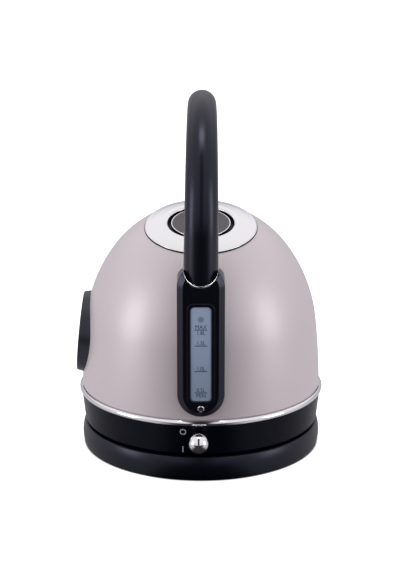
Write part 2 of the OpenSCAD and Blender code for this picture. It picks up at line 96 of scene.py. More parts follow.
# Handle: a straight root, then one bend; it leans a little to the right
HANDLE_Y = 90.0 * MM
BEND_R, BEND_Z, BEND_A = 85.0 * MM, 194.0 * MM, radians(124)
GRIP_R0, GRIP_R1 = 13.2 * MM, 10.7 * MM
ROOT_Z, ROOT_SLOPE = 167.6 * MM, tan(radians(36.2))
LEAN = radians(0.45)
PATH_LEN = BEND_Z - ROOT_Z + BEND_R * BEND_A

SPOUT_RISE = radians(40)
COLLAR_TOP_R, COLLAR_FOOT_R, COLLAR_EASE = 98.3 * MM, 95.7 * MM, 1.3 * MM
BASE_R = cover_high.x

# Gauge bracket: REBATE_SLOPE is the slope of its cut ahead of the handle's root
FACE_Y = -103.5 * MM
BRACKET_R = bracket_high.x
BRACKET_CUT = 4.5 * MM
BRACKET_TOP = 156.0 * MM
REBATE_SLOPE = tan(radians(15.4))
WINDOW_W = 15.9 * MM

# Dial: DIAL_FACE is the depth of its printed face behind the front edge
DIAL_AXIS = -Vector(joints["needle_turn"]["axis"]).normalized()
DIAL_POS = Vector(joints["needle_turn"]["pos_m"])
DIAL_R = 32.3 * MM
DIAL_FACE = -2.3 * MM

BALL_R = (ball_high.x - ball_low.x) / 2
ball_mid = (ball_low + ball_high) / 2
BALL = Vector((ball_mid.x, ball_low.y + BALL_R, ball_mid.z))
SWITCH_X = BALL.x
PORT_Z = window_high.z - 10.2 * MM

# ---------------------------------------------------------------- outlines


def arc(centre, radius, start, end, steps):
    """Points along an arc, both ends included."""
    angles = [start + (end - start) * i / steps for i in range(steps + 1)]
    return [Vector((centre[0] + radius * cos(a), centre[1] + radius * sin(a))) for a in angles]


def rounded(corners, steps=5):
    """An outline through (x, y, radius) corners, each corner eased by its radius."""
    out = []
    for i, (x, y, radius) in enumerate(corners):
        corner = Vector((x, y))
        if radius == 0 or i in (0, len(corners) - 1):
            out.append(corner)
            continue
        back = Vector(corners[i - 1][:2]) - corner
        ahead = Vector(corners[i + 1][:2]) - corner
        reach = min(radius / tan(back.angle(ahead) / 2), 0.48 * back.length, 0.48 * ahead.length)
        a, b = corner + back.normalized() * reach, corner + ahead.normalized() * reach
        for k in range(steps + 1):
            t = k / steps
            out.append(a * (1 - t) ** 2 + corner * 2 * t * (1 - t) + b * t * t)
    return out


def dome_outline(inset, bottom):
    """Half section of the dome from the height `bottom` up to the pole, set in by `inset`."""
    r_low = LOW_ARC - inset
    start = asin((bottom - low_centre.y) / r_low)
    points = arc(low_centre, r_low, start, LOW_END, 24)
    points += arc(mid_centre, MID_ARC - inset, LOW_END, MID_END, 40)[1:]
    crown = arc(crown_centre, CROWN_R - inset, MID_END, pi / 2, 56)[1:]
    crown[-1].x = 0
    return points + crown


def dome_radius(z, inset=0.0):
    """Radius of the dome's surface at height z."""
    for centre, radius, end in ((low_centre, LOW_ARC, LOW_END), (mid_centre, MID_ARC, MID_END)):
        r = radius - inset
        if z < centre.y + r * sin(end):
            return centre.x + sqrt(r * r - (z - centre.y) ** 2)
    r = CROWN_R - inset
    return sqrt(max(r * r - (z - crown_centre.y) ** 2, 0))


def dome_normal(point):
    """Outward normal of the dome nearest to a point."""
    radius = max(hypot(point.x, point.y), 1e-9)
    flat = Vector((radius, point.z))
    angle = atan2(flat.y - mid_centre.y, flat.x - mid_centre.x)
    centre = mid_centre
    if angle < LOW_END:
        centre = low_centre
    elif angle > MID_END:
        centre = crown_centre
    n = (flat - centre).normalized()
    return Vector((n.x * point.x / radius, n.x * point.y / radius, n.y))


def panel(width, low, high, corner, depth, steps=16):
    """Ring of points in an XZ plane: an upright rounded rectangle, or a stadium."""
    half = width / 2 - corner
    points = []
    for quarter, (x, z) in enumerate(((-half, low + corner), (half, low + corner),
                                      (half, high - corner), (-half, high - corner))):
        for i in range(steps + 1):
            a = pi + (quarter + i / steps) * pi / 2
            points.append(Vector((x + corner * cos(a), depth, z + corner * sin(a))))
    return points


# ---------------------------------------------------------------- meshes


def piece(name, verts, faces, body=None, slot=None, replaces=(), sharp=32):
    """A mesh object with smooth faces and edges kept sharp above an angle in degrees."""
    mesh = bpy.data.meshes.new(name)
    mesh.from_pydata([tuple(v) for v in verts], [], faces)
    obj = bpy.data.objects.new(name, mesh)
    bpy.context.scene.collection.objects.link(obj)
    shade(obj, sharp)
    if body:
        adopt(obj, body, slot, replaces)
    return obj


def adopt(obj, body, slot, replaces=()):
    """Makes a finished piece part of the object."""
    if not obj.data.has_custom_normals:
        obj.modifiers.new("weigh", "WEIGHTED_NORMAL").keep_sharp = True
        bake(obj)
    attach(obj, body)
    if replaces:
        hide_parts(*replaces)
    obj.data.materials.clear()
    obj.data.materials.append(finishes[slot])
    return obj


def shade(obj, sharp=32):
    """Outward faces, smooth shading, and sharp edges above an angle."""
    bm = bmesh.new()
    bm.from_mesh(obj.data)
    bmesh.ops.remove_doubles(bm, verts=bm.verts, dist=1e-6)
    bmesh.ops.recalc_face_normals(bm, faces=bm.faces)
    for face in bm.faces:
        face.smooth = True
    for edge in bm.edges:
        edge.smooth = edge.calc_face_angle(0.0) < radians(sharp)
    bm.to_mesh(obj.data)
    bm.free()


def loft(rings, caps=(False, False), closed=False):
    """Vertices and faces that join rings of equal length, with optional end caps."""
    count = len(rings[0])
    verts = [p for ring in rings for p in ring]
    faces = []
    last = len(rings) if closed else len(rings) - 1
    for j in range(last):
        a, b = j * count, (j + 1) % len(rings) * count
        faces += [(a + i, a + (i + 1) % count, b + (i + 1) % count, b + i) for i in range(count)]
    for wanted, start in zip(caps, (0, (len(rings) - 1) * count)):
        if wanted:
            faces.append(tuple(range(start, start + count)))
    return verts, faces


def lathe(outline, place=Matrix(), turns=160):
    """Vertices and faces of an outline of (radius, height) points turned about place's Z axis."""
    verts, rows = [], []
    for r, z in outline:
        if r < 1e-7:
            rows.append([len(verts)] * turns)
            verts.append(place @ Vector((0, 0, z)))
            continue
        rows.append(range(len(verts), len(verts) + turns))
        for i in range(turns):
            a = TURN * i / turns
            verts.append(place @ Vector((r * cos(a), r * sin(a), z)))
    faces = []
    for a, b in zip(rows, rows[1:]):
        for i in range(turns):
            j = (i + 1) % turns
            corners = [a[i], a[j], b[j], b[i]]
            face = tuple(dict.fromkeys(corners))
            if len(face) > 2:
                faces.append(face)
    return verts, faces


def ring_lathe(outline, place=Matrix(), turns=160):
    """A closed outline away from the axis, turned about it."""
    return lathe(list(outline) + [outline[0]], place, turns)


def bake(obj):
    """Replaces a piece's mesh by the result of its modifiers."""
    graph = bpy.context.evaluated_depsgraph_get()
    mesh = bpy.data.meshes.new_from_object(obj.evaluated_get(graph))
    mesh.name = obj.name
    obj.modifiers.clear()
    obj.data = mesh


def cut(obj, cutters):
    """Takes closed cutter meshes away from a piece and deletes them."""
    for verts, faces in cutters:
        tool = piece("cutter", verts, faces)
        mod = obj.modifiers.new("cut", "BOOLEAN")
        mod.operation = "DIFFERENCE"
        mod.solver = "EXACT"
        mod.object = tool
        bake(obj)
        bpy.data.objects.remove(tool)
    return obj


def true_normals(obj, normal_at, limit=28):
    """Gives a cut surface the exact normals of the surface it was cut from."""
    mesh = obj.data
    near = cos(radians(limit))
    normals = []
    for poly in mesh.polygons:
        for index in poly.vertices:
            n = normal_at(mesh.vertices[index].co)
            side = n.dot(poly.normal)
            if side < -near:
                n = -n
            normals.append(n if abs(side) > near else poly.normal.copy())
    mesh.polygons.foreach_set("use_smooth", [True] * len(mesh.polygons))
    mesh.normals_split_custom_set(normals)
    return obj


def axis_place(origin, axis, up=Vector((0, 0, 1))):
    """A frame at origin whose Z runs along axis and whose X is as near to up as it can be."""
    z = Vector(axis).normalized()
    x = (up - z * up.dot(z)).normalized()
    y = z.cross(x)
    rotation = Matrix((x, y, z)).transposed().to_4x4()
    return Matrix.Translation(origin) @ rotation


def bar(place, radius, low, high, turns=64):
    """A closed round bar along place's Z axis."""
    return lathe([(0, low), (radius, low), (radius, high), (0, high)], place, turns)


LID_PLACE = axis_place(Vector((0, 0, crown_centre.y)), LID_AXIS, Vector((0, 1, 0)))
DIAL_PLACE = axis_place(DIAL_POS, DIAL_AXIS)
FILTER_PLACE = axis_place(Vector((0, 85.3 * MM, 137 * MM)), (0, cos(radians(20)), sin(radians(20))))
GLAND_PLACE = axis_place(Vector((0, 0, (gland_low.z + gland_high.z) / 2)), (0, 1, 0))

# ---------------------------------------------------------------- finishes


def add(tree, kind, inputs=(), **settings):
    """A new node; each input is a plain value or another node's output to link."""
    made = tree.nodes.new("ShaderNode" + kind)
    for key, value in settings.items():
        setattr(made, key, value)
    for key, value in dict(inputs).items():
        if isinstance(value, bpy.types.NodeSocket):
            tree.links.new(value, made.inputs[key])
        else:
            made.inputs[key].default_value = value
    return made


def ramp(tree, value, start, end, low, high, blend="SMOOTHSTEP"):
    """Output that eases from low to high while value goes from start to end."""
    inputs = {"Value": value, "From Min": start, "From Max": end, "To Min": low, "To Max": high}
    return add(tree, "MapRange", inputs, interpolation_type=blend).outputs[0]


def surface(name, colour, rough, metal=0.0, vary=0.05, spread=0.03, grain=160, stretch=(1, 1, 1)):
    """A shader whose colour and roughness vary with noise laid on the object."""
    mat = bpy.data.materials.new(name)
    mat.use_nodes = True
    tree = mat.node_tree
    shader = tree.nodes["Principled BSDF"]
    shader.inputs["Metallic"].default_value = metal
    where = add(tree, "TexCoord", name="where")
    scale = add(tree, "Mapping", {"Vector": where.outputs["Object"], "Scale": stretch})
    fine = {"Vector": scale.outputs[0], "Scale": grain, "Detail": 3}
    noise = add(tree, "TexNoise", fine, name="noise")
    darker = [c * (1 - vary) for c in colour] + [1]
    lighter = [min(c * (1 + vary), 1) for c in colour] + [1]
    blend = {0: noise.outputs["Fac"], 6: darker, 7: lighter}
    tone = add(tree, "Mix", blend, data_type="RGBA", name="tone")
    tree.links.new(tone.outputs[2], shader.inputs["Base Color"])
    least, most = max(rough - spread, 0.02), rough + spread
    rougher = ramp(tree, noise.outputs["Fac"], 0, 1, least, most, "LINEAR")
    tree.links.new(rougher, shader.inputs["Roughness"])
    return mat


def setting(mat, **values):
    """Sets plain values on a finish's shader sockets, named with underscores."""
    shader = mat.node_tree.nodes["Principled BSDF"]
    for socket, value in values.items():
        shader.inputs[socket.replace("_", " ")].default_value = value
    return mat


def relief(mat, strength, distance):
    """Fine bumps from the finish's own noise."""
    tree = mat.node_tree
    height = tree.nodes["noise"].outputs["Fac"]
    bump = add(tree, "Bump", {"Strength": strength, "Distance": distance, "Height": height})
    tree.links.new(bump.outputs[0], tree.nodes["Principled BSDF"].inputs["Normal"])
    return mat


def window_finish():
    """Smoky blue plastic with painted light that makes it paler at the top, and the upper port showing dark
    through it.
    """
    mat = surface("window", (0.37, 0.45, 0.61), 0.22, vary=0.03, grain=60)
    setting(mat, Specular_IOR_Level=0.3)
    tree = mat.node_tree
    split = add(tree, "SeparateXYZ", {0: tree.nodes["where"].outputs["Object"]})
    # Painted light: the window's colour brightens from its bottom edge to its top
    rise = ramp(tree, split.outputs["Z"], window_low.z, window_high.z, 0.86, 1.16)
    flat = add(tree, "CombineXYZ", {"X": split.outputs["X"], "Z": split.outputs["Z"]})
    gap = add(tree, "VectorMath", {0: flat.outputs[0], 1: (0, 0, PORT_Z)}, operation="DISTANCE")
    spot = ramp(tree, gap.outputs["Value"], 1.2 * MM, 3.4 * MM, 0.55, 1.0)
    level = add(tree, "Math", {0: rise, 1: spot}, operation="MULTIPLY")
    tint = {0: tree.nodes["tone"].outputs[2], "Scale": level.outputs[0]}
    scaled = add(tree, "VectorMath", tint, operation="SCALE")
    tree.links.new(scaled.outputs[0], tree.nodes["Principled BSDF"].inputs["Base Color"])
    return mat


def paint_finish():
    """Warm pearl lacquer: a fine flake under a soft clear coat."""
    mat = surface("body_paint", (0.69, 0.61, 0.63), 0.42, 0.25, 0.02, 0.02, 900)
    return setting(mat, Coat_Weight=0.25, Coat_Roughness=0.26)


def chrome_finish():
    """Polished plating."""
    return surface("chrome", (0.92, 0.9, 0.92), 0.08, 1.0, 0.01, 0.01, 25)


def steel_finish():
    """Brushed stainless: noise drawn out along the height."""
    mat = surface("steel", (0.56, 0.57, 0.59), 0.3, 1.0, 0.06, 0.06, 300, (1, 1, 0.04))
    return relief(mat, 0.05, 0.0001)


def plastic_finish(name, colour, rough, level, grain=420, tint=(1, 1, 1, 1)):
    """Moulded plastic with a faint grain."""
    mat = surface(name, colour, rough, 0.0, 0.08, 0.03, grain)
    return setting(relief(mat, 0.06, 0.0001), Specular_IOR_Level=level, Specular_Tint=tint)


def clear_finish():
    """Thin clear plastic over the dial: it reflects, and lets the face through."""
    mat = surface("dial_glass", (0.8, 0.84, 0.88), 0.04, 0.0, 0.02, 0.01, 30)
    mat.surface_render_method = "BLENDED"
    return setting(mat, Alpha=0.12, Coat_Weight=0.6, Coat_Roughness=0.03)


# Tint of the highlights on the black plastics
BLUISH = (0.74, 0.76, 1.0, 1)

finishes = {
    "body_paint": paint_finish(),
    "chrome": chrome_finish(),
    "steel": steel_finish(),
    "heat_spreader": surface("heat_spreader", (0.6, 0.6, 0.62), 0.42, 1.0, 0.05, 0.05, 90),
    "satin_black": plastic_finish("satin_black", (0.002, 0.002, 0.005), 0.3, 0.46, tint=BLUISH),
    "gloss_black": plastic_finish("gloss_black", (0.002, 0.002, 0.006), 0.28, 0.14, 60, BLUISH),
    "dial_black": plastic_finish("dial_black", (0.0035, 0.0035, 0.006), 0.34, 0.75, tint=BLUISH),
    "knob_grey": plastic_finish("knob_grey", (0.11, 0.094, 0.106), 0.45, 0.35),
    "dark_plastic": plastic_finish("dark_plastic", (0.012, 0.012, 0.015), 0.5, 0.3),
    "brass": surface("brass", (0.75, 0.55, 0.24), 0.22, 1.0, 0.05, 0.04, 80),
    "window": window_finish(),
    "gauge_blue": plastic_finish("gauge_blue", (0.2, 0.25, 0.36), 0.4, 0.3),
    "mark_dark": plastic_finish("mark_dark", (0.02, 0.026, 0.05), 0.5, 0.2),
    "mark_white": plastic_finish("mark_white", (0.42, 0.45, 0.5), 0.4, 0.3),
    "dial_white": plastic_finish("dial_white", (0.78, 0.77, 0.74), 0.5, 0.3),
    "dial_glass": clear_finish(),
    "needle_red": plastic_finish("needle_red", (0.5, 0.012, 0.01), 0.35, 0.4),
    "rubber": plastic_finish("rubber", (0.014, 0.014, 0.015), 0.72, 0.2, 500),
}

# CAD parts that stay visible take the same finishes
for subpart in frame["record"]["subparts"]:
    finish = finishes[subpart["material_slot"]]
    mesh = frame["nodes"][subpart["node"]].data
    mesh.materials.clear()
    mesh.materials.append(finish)

# ---------------------------------------------------------------- body


def make_shell():
    """Double-walled dome: a turned-in lower edge over the trim ring, lid and filter holes."""
    lip = ring_high.z + 0.5 * MM
    tuck = dome_radius(lip) - 0.75 * MM
    rim = rounded([(tuck, shell_low.z, 0), (tuck, lip - 0.5 * MM, 0), (tuck, lip - 0.4 * MM, 0),
                   (dome_radius(lip), lip, 0.4 * MM), (dome_radius(lip + MM), lip + MM, 0)])
    inner = dome_outline(WALL, shell_low.z)
    outline = rim + dome_outline(0, lip + 1.2 * MM) + inner[::-1] + [Vector((tuck, shell_low.z))]
    shell = piece("shell", *lathe(outline, turns=FINE))
    lid_hole = bar(LID_PLACE, NECK_R, 60 * MM, 110 * MM, 192)
    filter_hole = bar(FILTER_PLACE, 15 * MM, -8 * MM, 8 * MM, 96)
    cut(shell, [lid_hole, filter_hole])
    true_normals(shell, dome_normal)
    return adopt(shell, "kettle", "body_paint", ["body_shell"])


def make_spout():
    """A slanting cone cut level at its rounded rim, one section for each of its lines."""
    origin = Vector((0, 52, 108)) * MM
    axis = Vector((0, cos(SPOUT_RISE), sin(SPOUT_RISE)))
    side = Vector((1, 0, 0))
    top = side.cross(axis)
    wide, start = 33.2 * MM, 22 * MM
    taper = 30 / 78
    rim_z = spout_high.z
    half_wall = 0.7 * MM

    def line(phi, inset):
        """One straight line of the cone: its points by their length along the axis."""
        across = side * cos(phi) + top * sin(phi)
        return lambda t: origin + axis * t + across * (wide - inset - taper * (t - start))

    def reach(phi, inset, height):
        """Length at which a line comes up to a height."""
        lift = top.z * sin(phi)
        base = origin.z + lift * (wide - inset + taper * start)
        return (height - base) / (axis.z - taper * lift)

    def entry(at, end):
        """Length at which a line comes out of the dome's wall, found by halving."""
        low, high = start, end
        for _ in range(40):
            mid = (low + high) / 2
            p = at(mid)
            inside = hypot(p.x, p.y) < dome_radius(p.z, WALL / 2)
            low, high = (mid, high) if inside else (low, mid)
        return low

    rings = []
    for i in range(144):
        phi = TURN * i / 144
        outer, inner = line(phi, 0), line(phi, 2 * half_wall)
        end_out = reach(phi, 0, rim_z - half_wall)
        end_in = reach(phi, 2 * half_wall, rim_z - half_wall)
        start_out, start_in = entry(outer, end_out), entry(inner, end_in)
        section = [outer(start_out + (end_out - start_out) * k / 8) for k in range(9)]
        mid = (outer(end_out) + inner(end_in)) / 2
        arm = outer(end_out) - mid
        for k in range(1, 8):
            a = pi * k / 8
            section.append(mid + arm * cos(a) + Vector((0, 0, half_wall)) * sin(a))
        section += [inner(end_in + (start_in - end_in) * k / 8) for k in range(9)]
        rings.append(section)
    return piece("spout_skin", *loft(rings, closed=True), "kettle", "body_paint", ["spout"], 50)


def make_trim_ring():
    """Polished bead round the body's lower edge, with a fine groove behind it."""
    radius = 2.35 * MM
    centre = Vector((ring_high.x - radius, 47.6 * MM))
    start = asin((ring_low.z - centre.y) / radius)
    bead = arc(centre, radius, start, acos(0.5 * MM / radius), 20)
    inner = BODY_R - 0.3 * MM
    groove = bead[-1].y - 2 * MM
    outline = bead + [Vector((bead[-1].x, groove)), Vector((inner, groove))]
    outline.append(Vector((inner, ring_low.z)))
    return piece("trim_bead", *ring_lathe(outline, turns=FINE), "kettle", "chrome", ["trim_ring"])


def collar_normal(point):
    """Outward normal of the collar's slightly flared wall."""
    radius = hypot(point.x, point.y)
    flare = (COLLAR_TOP_R - COLLAR_FOOT_R) / (collar_high.z - collar_low.z - COLLAR_EASE)
    return Vector((point.x / radius, point.y / radius, -flare)).normalized()


def make_collar():
    """Switch housing: a flared band with an eased lower edge and a slot for the lever."""
    low, high = collar_low.z, collar_high.z
    inner, ledge = 90.9 * MM, 93.3 * MM
    outline = rounded([(ledge, high, 0), (COLLAR_TOP_R, high, 0.4 * MM),
                       (COLLAR_FOOT_R, low + COLLAR_EASE, 0.8 * MM),
                       (COLLAR_FOOT_R - 1.2 * MM, low, 0.5 * MM),
                       (inner, low, 0), (inner, high - MM, 0), (ledge, high - MM, 0)])
    collar = piece("switch_band", *ring_lathe(outline, turns=FINE))
    slot = [panel(14 * MM, 24.6 * MM, 42.4 * MM, 6.9 * MM, y) for y in (-70 * MM, -110 * MM)]
    for ring in slot:
        for p in ring:
            p.x += SWITCH_X
    cut(collar, [loft(slot, (True, True))])
    true_normals(collar, collar_normal)
    return adopt(collar, "kettle", "gloss_black", ["collar"])


def make_slot_lip():
    """Fine raised edge round the lever's slot, set just inside the band."""
    rings = []
    for grow, depth in ((0.0, 94.9), (0.0, 95.8), (-0.5, 96.1), (-1.0, 95.8), (-1.0, 94.9)):
        ring = panel((13.6 + 2 * grow) * MM, (24.8 - grow) * MM, (42.2 + grow) * MM,
                     (6.7 + grow) * MM, -depth * MM)
        for p in ring:
            p.x += SWITCH_X
        rings.append(ring)
    return piece("slot_lip", *loft(rings, closed=True), "kettle", "gloss_black")


# ---------------------------------------------------------------- power base


def make_base():
    """Swelling skirt with a rounded shoulder, a level top and the raised hub."""
    low, high = cover_low.z, 19 * MM
    swell = 28 * MM
    centre = Vector((BASE_R - swell, 9 * MM))
    foot = asin((low - centre.y) / swell)
    skirt = arc(centre, swell, foot, asin(6.5 / 28), 20)
    shoulder = rounded([(skirt[-1].x, skirt[-1].y, 0), (skirt[-1].x - 0.9 * MM, high, 3.4 * MM),
                        (80 * MM, high, 0)], 10)
    hub = rounded([(19.1 * MM, high, 0), (19.1 * MM, cover_high.z, 0.8 * MM),
                   (13.1 * MM, cover_high.z, 0.5 * MM), (13.1 * MM, 8 * MM, 0)])
    under = [Vector((19.1 * MM, 8 * MM)), Vector((19.1 * MM, high - 2.2 * MM))]
    inner = arc(centre - Vector((3 * MM, 0)), swell, asin(5.6 / 28), foot, 12)
    outline = skirt + shoulder[1:] + hub + under + inner
    base = piece("base_skin", *ring_lathe(outline, turns=FINE))
    cord_hole = bar(GLAND_PLACE, 5.2 * MM, BASE_R - 11 * MM, BASE_R + 8 * MM)
    cut(base, [cord_hole])

    def normal(point):
        """Outward normal of the swelling skirt."""
        radius = hypot(point.x, point.y)
        flat = (Vector((radius, point.z)) - centre).normalized()
        return Vector((flat.x * point.x / radius, flat.x * point.y / radius, flat.y))

    true_normals(base, normal, 12)
    return adopt(base, "base", "satin_black", ["base_cover"])


def make_gland():
    """Rubber bush round the cable entry."""
    bore = 3.4 * MM
    low, high = gland_low.y, gland_high.y
    back, neck, front, lip = 6.0 * MM, 5.2 * MM, 6.6 * MM, 2.2 * MM
    outline = rounded([(bore, low, 0), (back, low, 0.4 * MM), (back, low + lip, 0.4 * MM),
                       (neck, low + lip, 0), (neck, high - lip, 0), (front, high - lip, 0.4 * MM),
                       (front, high, 0.7 * MM), (bore + 0.5 * MM, high, 0.3 * MM),
                       (bore, high - 0.6 * MM, 0)])
    mesh = ring_lathe(outline, GLAND_PLACE, 64)
    return piece("cable_bush", *mesh, "base", "rubber", ["cord_gland"])


# ---------------------------------------------------------------- handle


def path(s):
    """Place, heading and radius of the handle's centre line at length s from its root."""
    rise = BEND_Z - ROOT_Z
    angle = max(s - rise, 0) / BEND_R
    centre = Vector((0, BEND_R - HANDLE_Y, BEND_Z))
    if s < rise:
        spot = Vector((0, -HANDLE_Y, ROOT_Z + s))
    else:
        spot = centre + BEND_R * Vector((0, -cos(angle), sin(angle)))
    heading = Vector((0, sin(angle), cos(angle)))
    spot.x = (spot.z - ROOT_Z) * tan(LEAN)
    radius = GRIP_R0 + (GRIP_R1 - GRIP_R0) * s / PATH_LEN
    return spot, heading, radius


def tube_ring(s, radius, count=72, slope=0.0):
    """Ring round the centre line; a slope tilts it to lie on the bracket's cut."""
    spot, heading, _ = path(s)
    across = heading.cross(Vector((1, 0, 0)))
    ring = []
    for i in range(count):
        a = TURN * i / count
        p = spot + Vector((1, 0, 0)) * radius * cos(a) + across * radius * sin(a)
        p.z += slope * across.y * radius * sin(a)
        ring.append(p)
    return ring


def make_grip():
    """Tapering tube from the sloping joint over the arch to its rounded free end."""
    rise = BEND_Z - ROOT_Z
    rings = [tube_ring(0, GRIP_R0 - 0.4 * MM, slope=ROOT_SLOPE)]
    first = tube_ring(0, GRIP_R0, slope=ROOT_SLOPE)
    rings.append([p + Vector((0, 0, 0.4 * MM)) for p in first])
    stations = [rise * k / 4 for k in (2, 3, 4)]
    stations += [rise + (PATH_LEN - rise) * k / 72 for k in range(1, 72)]
    rings += [tube_ring(s, path(s)[2]) for s in stations]
    ease = 1.2 * MM
    for k in range(6):
        a = pi / 2 * k / 5
        rings.append(tube_ring(PATH_LEN - ease + ease * sin(a), GRIP_R1 - ease + ease * cos(a)))
    return piece("grip", *loft(rings, (True, True)), "kettle", "satin_black", ["handle_grip"], 40)


def make_grip_ring():
    """Bright band that follows the sloping joint."""
    radius = GRIP_R0 + 0.35 * MM
    rings = []
    for inset, drop in ((0.6, 1.4), (0.15, 1.35), (0, 1.15), (0, 0.25), (0.15, 0.05), (0.6, 0)):
        ring = tube_ring(0, radius - inset * MM, slope=ROOT_SLOPE)
        rings.append([p - Vector((0, 0, drop * MM)) for p in ring])
    return piece("grip_band", *loft(rings, (True, True)), "kettle", "chrome", ["handle_ring"], 60)


def make_grip_end():
    """Slightly domed plug in the handle's free end."""
    spot, heading, _ = path(PATH_LEN)
    place = axis_place(spot, heading, Vector((1, 0, 0)))
    r = GRIP_R1 - 1.6 * MM
    outline = rounded([(0, -MM, 0), (r, -MM, 0), (r, 0.8 * MM, 0.6 * MM),
                       (r - 2 * MM, 1.8 * MM, 2 * MM), (0, 3.0 * MM, 0)], 8)
    return piece("grip_plug", *lathe(outline, place, 72), "kettle", "dark_plastic", ["handle_end"])


# ---------------------------------------------------------------- gauge


def inset_rings(profile, width, low, high, corner):
    """Rings of an upright rounded panel, one for each (inset, depth) of a profile."""
    return [panel(width - 2 * d, low + d, high - d, corner - d, y) for d, y in profile]


def make_bracket():
    """Chamfered upright bar that carries the gauge and wraps the handle's foot."""
    edge = FACE_Y + 3.6 * MM
    low, high = bracket_low.z, BRACKET_TOP + BRACKET_R
    profile = rounded([(0, -60 * MM, 0), (0, edge, 1.2 * MM), (BRACKET_CUT, FACE_Y, 0.9 * MM),
                       (9 * MM, FACE_Y, 0)])
    rings = inset_rings(profile, 2 * BRACKET_R, low, high, BRACKET_R)
    bracket = piece("bracket", *loft(rings, (True, True)))
    body = lathe([(0, 40 * MM)] + dome_outline(0, 40 * MM), turns=160)
    sleeve = GRIP_R0 + 0.36 * MM
    root = ROOT_Z - 1.4 * MM
    top = 240 * MM
    plan = [(sleeve * cos(TURN * i / 64), sleeve * sin(TURN * i / 64)) for i in range(64)]
    foot = [Vector((x, y - HANDLE_Y, root + ROOT_SLOPE * y)) for x, y in plan]
    above = [Vector((p.x, p.y, top)) for p in foot]
    # The handle's foot stands in a round hole, which opens forwards along its front half
    sweep = []
    for ahead in (0.01 * MM, -40 * MM):
        curve = [Vector((x, ahead - HANDLE_Y, root + ROOT_SLOPE * y + REBATE_SLOPE * (y - ahead)))
                 for x, y in plan[32:] + plan[:1]]
        curve += [Vector((x, ahead - HANDLE_Y, top)) for x in (sleeve, -sleeve)]
        sweep.append(curve)
    # A tilted slab slopes the top down towards the body, and a pocket holds the window
    tilt = Matrix.Translation((0, -92 * MM, 172 * MM)) @ Matrix.Rotation(radians(-32), 4, "X")
    corners = ((-30, -1), (30, -1), (30, 89), (-30, 89))
    slab = [[tilt @ (Vector((x, y, z)) * MM) for x, y in corners] for z in (0, 60)]
    pocket = [panel(WINDOW_W + MM, window_low.z, window_high.z, 3.5 * MM, y * MM)
              for y in (-99, -120)]
    solids = [loft(rings, (True, True)) for rings in ([foot, above], sweep, slab, pocket)]
    cut(bracket, [body] + solids)
    shade(bracket, 30)
    return adopt(bracket, "kettle", "satin_black", ["gauge_bracket"])


def make_frame():
    """Raised rim round the window, eased on both edges."""
    out_w, out_low, out_high = WINDOW_W + 5.4 * MM, frame_low.z, frame_high.z
    outer = rounded([(0, FACE_Y, 0), (0, frame_low.y, 0.7 * MM), (1.5 * MM, frame_low.y, 0)])
    rings = inset_rings(outer, out_w, out_low, out_high, 5 * MM)
    inner = [Vector((-0.8 * MM, frame_low.y)), Vector((-0.3 * MM, frame_low.y + 0.1 * MM)),
             Vector((0, frame_low.y + 0.5 * MM)), Vector((0, FACE_Y + 0.8 * MM))]
    rings += inset_rings(inner, WINDOW_W, window_low.z + 0.5 * MM, window_high.z - 0.5 * MM, 3 * MM)
    back = Vector((-2.7 * MM, FACE_Y + 0.8 * MM))
    rings += inset_rings([back], WINDOW_W, window_low.z + 0.5 * MM, window_high.z - 0.5 * MM, 3 * MM)
    return piece("gauge_rim", *loft(rings, closed=True), "kettle", "satin_black", ["gauge_frame"], 50)


def make_window():
    """Smoky window with a broad bevel round its edge."""
    profile = [Vector((0.05, 1.4)), Vector((0.05, 0.25)), Vector((0.2, 0.1)), Vector((0.95, 0.0)),
               Vector((1.6, 0.0))]
    rings = inset_rings([(d.x * MM, window_low.y + d.y * MM) for d in profile], WINDOW_W,
                        window_low.z + 0.5 * MM, window_high.z - 0.5 * MM, 3 * MM)
    return piece("window_pane", *loft(rings, (True, True)), "kettle", "window", ["gauge_window"], 50)


def lettering(name, lines, place, slot, body="kettle"):
    """Raised text: (words, x, y, size, stretch) rows in the XY plane of a frame."""
    verts, faces = [], []
    for words, x, y, size, stretch in lines:
        curve = bpy.data.curves.new("words", "FONT")
        curve.body = words
        curve.size = size
        curve.align_x = "CENTER"
        curve.resolution_u = 3
        curve.extrude = 0.03 * MM
        curve.offset = -0.00002
        holder = bpy.data.objects.new("words", curve)
        bpy.context.scene.collection.objects.link(holder)
        graph = bpy.context.evaluated_depsgraph_get()
        mesh = bpy.data.meshes.new_from_object(holder.evaluated_get(graph))
        start = len(verts)
        verts += [place @ Vector((x + v.co.x * stretch, y + v.co.y, v.co.z)) for v in mesh.vertices]
        faces += [tuple(start + i for i in poly.vertices) for poly in mesh.polygons]
        bpy.data.objects.remove(holder)
    return piece(name, verts, faces, body, slot)


def make_gauge_words():
    """Litre marks, above and below the CAD's four lines."""
    lines = [z * MM for z in (74.6, 91.7, 111.9, 124.5)]
    up, down, size = 0.75 * MM, -3.85 * MM, 4.5 * MM
    rows = [("MAX", 0, lines[3] + up, size, 0.92), ("1.8L", 0, lines[3] + down, size, 0.86),
            ("1.5L", 0, lines[2] + up, size, 0.86), ("1.0L", 0, lines[1] + up, size, 0.86),
            ("0.5L", 0, lines[0] + up, size, 0.86), ("MIN", 0, lines[0] + down, size, 0.92)]
    front = axis_place(Vector((0, window_low.y - 0.02 * MM, 0)), (0, -1, 0))
    turn = front @ Matrix(((0, 1, 0, 0), (-1, 0, 0, 0), (0, 0, 1, 0), (0, 0, 0, 1)))
    return lettering("gauge_words", rows, turn, "mark_dark")


def star(radius, depth, place, points=6):
    """Closed six-lobed prism, the shape of a screw's recess."""
    ring = []
    for i in range(points * 8):
        a = TURN * i / (points * 8)
        r = radius * (0.84 + 0.16 * cos(points * a))
        ring.append(Vector((r * cos(a), r * sin(a), 0)))
    low = [place @ p for p in ring]
    high = [place @ (p + Vector((0, 0, depth))) for p in ring]
    return loft([low, high], (True, True))


